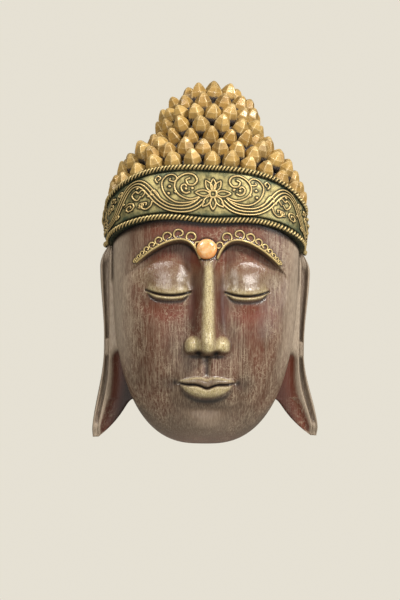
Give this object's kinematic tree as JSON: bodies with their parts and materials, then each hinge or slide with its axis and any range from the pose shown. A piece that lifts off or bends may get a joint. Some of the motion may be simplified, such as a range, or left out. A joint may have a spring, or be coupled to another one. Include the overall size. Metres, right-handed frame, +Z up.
{
  "type": "carved wall mask",
  "caption": "Carved and gilded calm head for a wall, with long ears, pointed curls, a topknot, a scrollwork headband and a round forehead stone; flat back.",
  "frame": {"origin": "middle of the head's flat back, on the wall plane, at the height of the cheeks' upper half", "axes": "+X to the viewer's right, +Z up to the topknot, +Y into the wall; the face looks along -Y"},
  "size_m": [0.3148, 0.1241, 0.5069],
  "materials": {
    "painted_wood": "red-brown paint, dry-brushed grey and gilded, satin varnish",
    "amber_stone": "polished amber-orange cabochon"
  },
  "bodies": {
    "root": {"head": "painted_wood", "forehead_stone": "amber_stone"}
  },
  "joints": []
}
